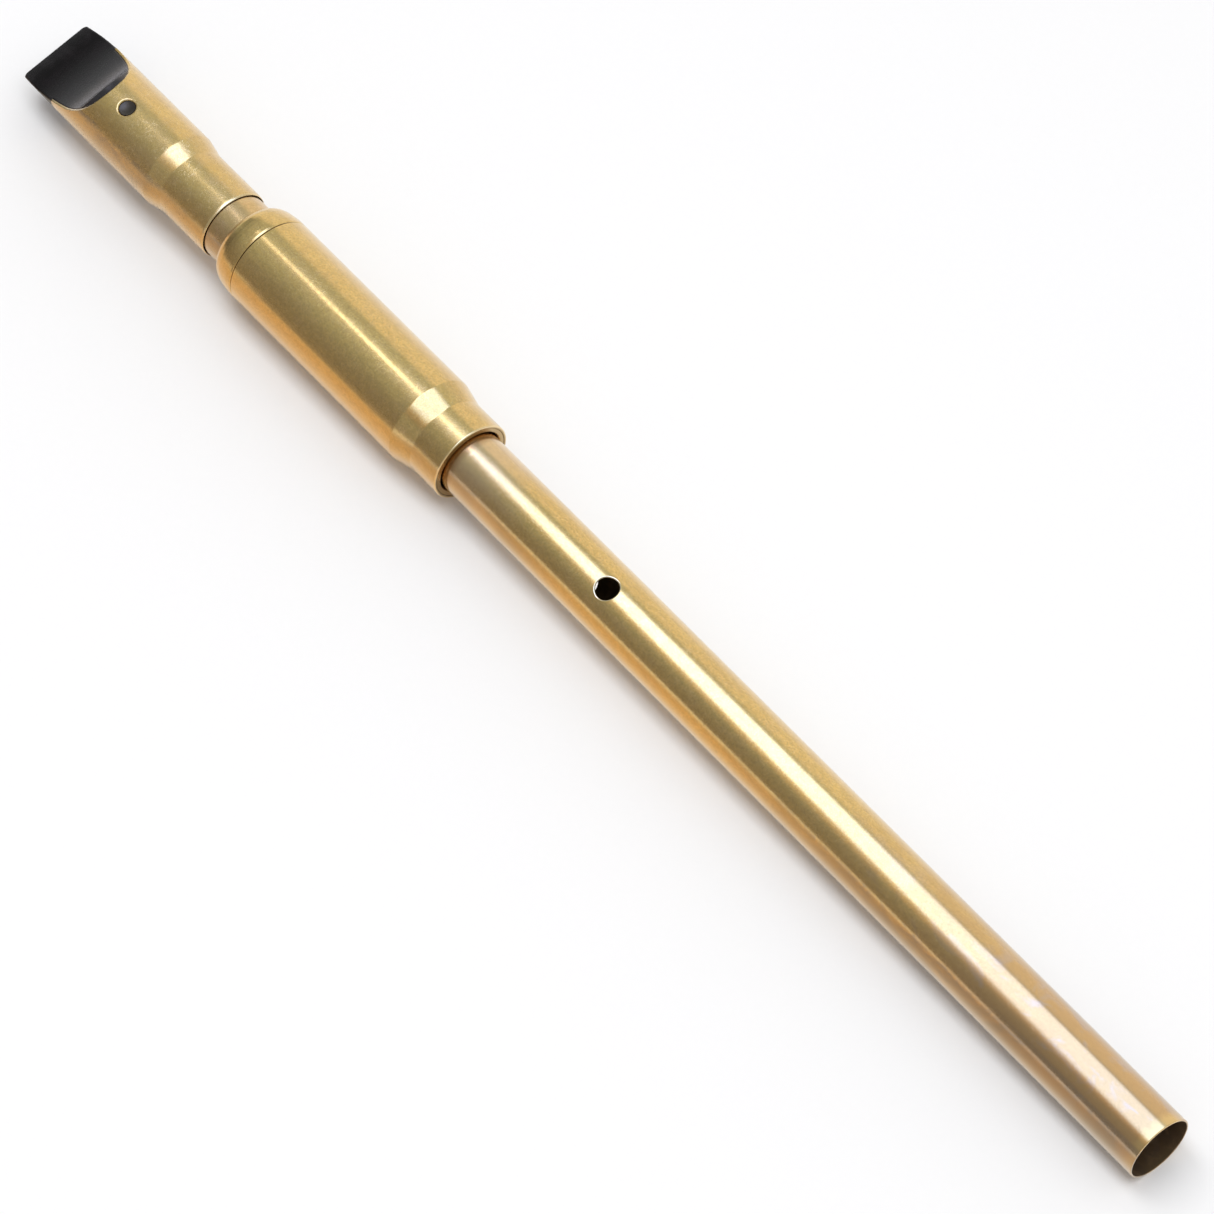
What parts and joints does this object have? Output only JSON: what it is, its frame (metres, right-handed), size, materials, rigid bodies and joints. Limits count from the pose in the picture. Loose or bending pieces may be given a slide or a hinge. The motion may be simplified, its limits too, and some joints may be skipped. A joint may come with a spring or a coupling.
{
  "type": "tin whistle",
  "caption": "Slim brass tin whistle with a black beaked mouthpiece, a tunable head, a swaged barrel and a thumb hole.",
  "frame": {"origin": "centre of the foot bore, on the plane of the foot rim", "axes": "+X along the tube's axis out of the foot, +Z towards the thumb hole side, -Z towards the window and finger holes"},
  "size_m": [0.3033, 0.0182, 0.0182],
  "materials": {
    "brass": "aged hand-polished brass with fine rub marks",
    "brass_bright": "freshly rubbed brass on the tuning slide and rings",
    "black_acetal": "satin machined black acetal",
    "seal_rubber": "matt black rubber"
  },
  "bodies": {
    "body": {"body_tube": "brass"},
    "barrel": {"barrel_shell": "brass", "barrel_cap_ring": "brass", "barrel_end_bush": "brass_bright", "body_seal_ring": "seal_rubber"},
    "slide": {"slide_tube": "brass_bright"},
    "head": {"head_casing": "brass", "window_blade": "brass_bright", "mouthpiece_plug": "black_acetal", "plug_pin": "black_acetal"}
  },
  "joints": [
    {"name": "body_pull", "type": "slide", "parent": "body", "child": "barrel", "axis": [-1, 0, 0], "range_m": [0, 0.03]},
    {"name": "head_turn", "type": "hinge", "parent": "barrel", "child": "slide", "pos_m": [-0.24, 0, 0], "axis": [1, 0, 0], "continuous": true},
    {"name": "tuning_slide", "type": "slide", "parent": "slide", "child": "head", "axis": [-1, 0, 0], "range_m": [-0.0045, 0.0075]}
  ]
}
